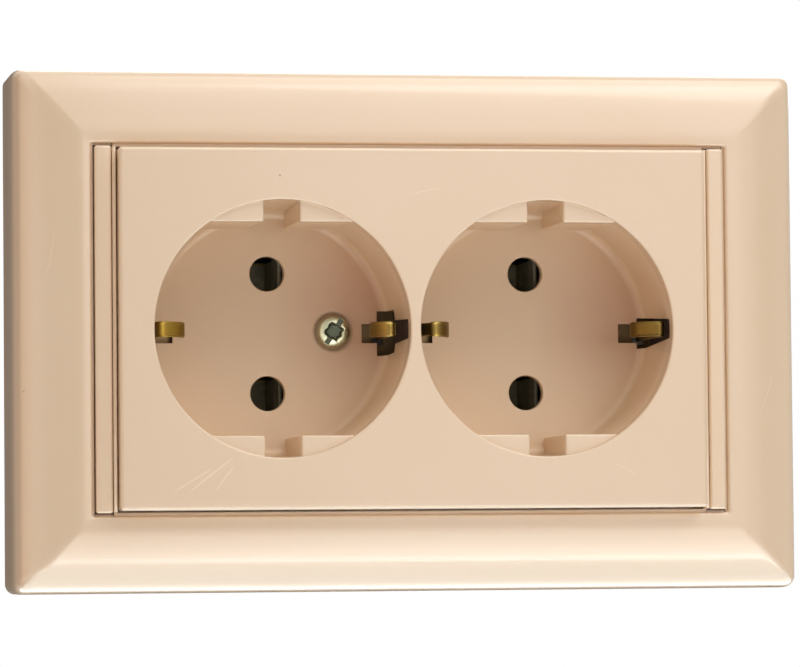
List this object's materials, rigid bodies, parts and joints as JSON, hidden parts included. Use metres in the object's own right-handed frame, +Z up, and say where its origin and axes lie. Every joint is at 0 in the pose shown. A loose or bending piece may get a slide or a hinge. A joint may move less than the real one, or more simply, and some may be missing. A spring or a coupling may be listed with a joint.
{
  "type": "duplex wall outlet",
  "caption": "Twin earthed wall outlet: ivory cover frame and socket plate with round wells and side earth clips, on a steel mounting plate and an insulated contact base for a round wall box.",
  "frame": {"origin": "centre of the wall plane, midway between the two wells, on the back face of the mounting plate", "axes": "+X to the right of a person facing the outlet, +Y into the wall, +Z up; the front stands at negative Y"},
  "size_m": [0.1244, 0.0454, 0.0818],
  "materials": {
    "ivory_gloss": "glossy ivory moulding with faint handling scratches",
    "ivory_trim": "glossy ivory trim, a shade lighter",
    "spring_brass": "dull rolled spring brass",
    "busbar_brass": "stamped brass strip",
    "zinc_steel": "zinc plated with a yellow-green passivation",
    "galvanised_sheet": "galvanised sheet",
    "base_thermoset": "dark mineral-filled thermoset",
    "cap_thermoset": "grey mineral-filled thermoset"
  },
  "bodies": {
    "root": {"mounting_plate": "galvanised_sheet", "contact_base": "base_thermoset", "rear_cap": "cap_thermoset", "rear_cap_screw_left": "zinc_steel", "rear_cap_screw_right": "zinc_steel", "earth_strap": "busbar_brass", "earth_rivet": "busbar_brass", "earth_terminal_plate": "busbar_brass", "line_busbar": "busbar_brass", "neutral_busbar": "busbar_brass", "pin_jaw_line_left": "spring_brass", "pin_jaw_line_right": "spring_brass", "pin_jaw_neutral_left": "spring_brass", "pin_jaw_neutral_right": "spring_brass", "line_terminal_nut": "zinc_steel", "neutral_terminal_nut": "zinc_steel", "earth_terminal_nut": "zinc_steel", "cover_screw_insert": "busbar_brass"},
    "front_frame": {"cover_frame": "ivory_gloss"},
    "trim_left": {"trim_strip_left": "ivory_trim"},
    "trim_right": {"trim_strip_right": "ivory_trim"},
    "front_cover": {"socket_cover": "ivory_gloss"},
    "screw_washer": {"cover_screw_washer": "zinc_steel"},
    "front_screw": {"cover_screw": "zinc_steel"},
    "clip_left_outer": {"earth_clip_left_outer": "spring_brass"},
    "clip_left_inner": {"earth_clip_left_inner": "spring_brass"},
    "clip_right_inner": {"earth_clip_right_inner": "spring_brass"},
    "clip_right_outer": {"earth_clip_right_outer": "spring_brass"},
    "line_clamp": {"line_clamp_plate": "zinc_steel"},
    "line_screw": {"line_terminal_screw": "zinc_steel"},
    "neutral_clamp": {"neutral_clamp_plate": "zinc_steel"},
    "neutral_screw": {"neutral_terminal_screw": "zinc_steel"},
    "earth_clamp": {"earth_clamp_plate": "zinc_steel"},
    "earth_screw": {"earth_terminal_screw": "zinc_steel"},
    "upper_claw": {"claw_upper": "galvanised_sheet"},
    "lower_claw": {"claw_lower": "galvanised_sheet"},
    "upper_claw_screw": {"claw_screw_upper": "zinc_steel"},
    "lower_claw_screw": {"claw_screw_lower": "zinc_steel"}
  },
  "joints": [
    {"name": "frame_lift", "type": "slide", "parent": "root", "child": "front_frame", "axis": [0, -1, 0], "range_m": [0, 0.03]},
    {"name": "cover_lift", "type": "slide", "parent": "front_frame", "child": "front_cover", "axis": [0, -1, 0], "range_m": [0, 0.028]},
    {"name": "trim_left_pull", "type": "slide", "parent": "front_frame", "child": "trim_left", "axis": [0, -1, 0], "range_m": [0, 0.006]},
    {"name": "trim_right_pull", "type": "slide", "parent": "front_frame", "child": "trim_right", "axis": [0, -1, 0], "range_m": [0, 0.006]},
    {"name": "cover_screw_travel", "type": "slide", "parent": "front_cover", "child": "screw_washer", "axis": [0, -1, 0], "range_m": [0, 0.003]},
    {"name": "cover_screw_turn", "type": "hinge", "parent": "screw_washer", "child": "front_screw", "pos_m": [-0.01035, -0.005, 0.0003], "axis": [0, -1, 0], "range_deg": [0, 2160]},
    {"name": "clip_left_outer_flex", "type": "hinge", "parent": "root", "child": "clip_left_outer", "pos_m": [-0.03965, -0.00265, 0], "axis": [0, 0, -1], "range_deg": [0, 4], "stiffness_Nm_per_rad": 0.02},
    {"name": "clip_left_inner_flex", "type": "hinge", "parent": "root", "child": "clip_left_inner", "pos_m": [-0.00285, -0.00265, 0], "axis": [0, 0, 1], "range_deg": [0, 4], "stiffness_Nm_per_rad": 0.02},
    {"name": "clip_right_inner_flex", "type": "hinge", "parent": "root", "child": "clip_right_inner", "pos_m": [0.00285, -0.00265, 0], "axis": [0, 0, -1], "range_deg": [0, 4], "stiffness_Nm_per_rad": 0.02},
    {"name": "clip_right_outer_flex", "type": "hinge", "parent": "root", "child": "clip_right_outer", "pos_m": [0.03965, -0.00265, 0], "axis": [0, 0, 1], "range_deg": [0, 4], "stiffness_Nm_per_rad": 0.02},
    {"name": "line_clamp_travel", "type": "slide", "parent": "root", "child": "line_clamp", "axis": [0, -1, 0], "range_m": [0, 0.001]},
    {"name": "line_screw_turn", "type": "hinge", "parent": "line_clamp", "child": "line_screw", "pos_m": [0, 0.019, 0.0095], "axis": [0, -1, 0], "range_deg": [0, 720]},
    {"name": "neutral_clamp_travel", "type": "slide", "parent": "root", "child": "neutral_clamp", "axis": [0, -1, 0], "range_m": [0, 0.001]},
    {"name": "neutral_screw_turn", "type": "hinge", "parent": "neutral_clamp", "child": "neutral_screw", "pos_m": [0, 0.019, -0.0095], "axis": [0, -1, 0], "range_deg": [0, 720]},
    {"name": "earth_clamp_travel", "type": "slide", "parent": "root", "child": "earth_clamp", "axis": [0, -1, 0], "range_m": [0, 0.001]},
    {"name": "earth_screw_turn", "type": "hinge", "parent": "earth_clamp", "child": "earth_screw", "pos_m": [0, 0.019, 0], "axis": [0, -1, 0], "range_deg": [0, 720]},
    {"name": "upper_claw_screw_turn", "type": "hinge", "parent": "root", "child": "upper_claw_screw", "pos_m": [0, -0.0023, 0.02], "axis": [0, 1, 0], "range_deg": [0, 1440]},
    {"name": "upper_claw_spread", "type": "hinge", "parent": "root", "child": "upper_claw", "pos_m": [0, 0.006, 0.0169], "axis": [1, 0, 0], "range_deg": [0, 20]},
    {"name": "lower_claw_screw_turn", "type": "hinge", "parent": "root", "child": "lower_claw_screw", "pos_m": [0, -0.0023, -0.02], "axis": [0, 1, 0], "range_deg": [0, 1440]},
    {"name": "lower_claw_spread", "type": "hinge", "parent": "root", "child": "lower_claw", "pos_m": [0, 0.006, -0.0169], "axis": [-1, 0, 0], "range_deg": [0, 20]}
  ],
  "couplings": [
    {"joint": "cover_screw_turn", "follows": "cover_screw_travel", "rad_per_m": 12566},
    {"joint": "line_screw_turn", "follows": "line_clamp_travel", "rad_per_m": 12566},
    {"joint": "neutral_screw_turn", "follows": "neutral_clamp_travel", "rad_per_m": 12566},
    {"joint": "earth_screw_turn", "follows": "earth_clamp_travel", "rad_per_m": 12566},
    {"joint": "upper_claw_spread", "follows": "upper_claw_screw_turn", "ratio": 0.013889},
    {"joint": "lower_claw_spread", "follows": "lower_claw_screw_turn", "ratio": 0.013889}
  ]
}
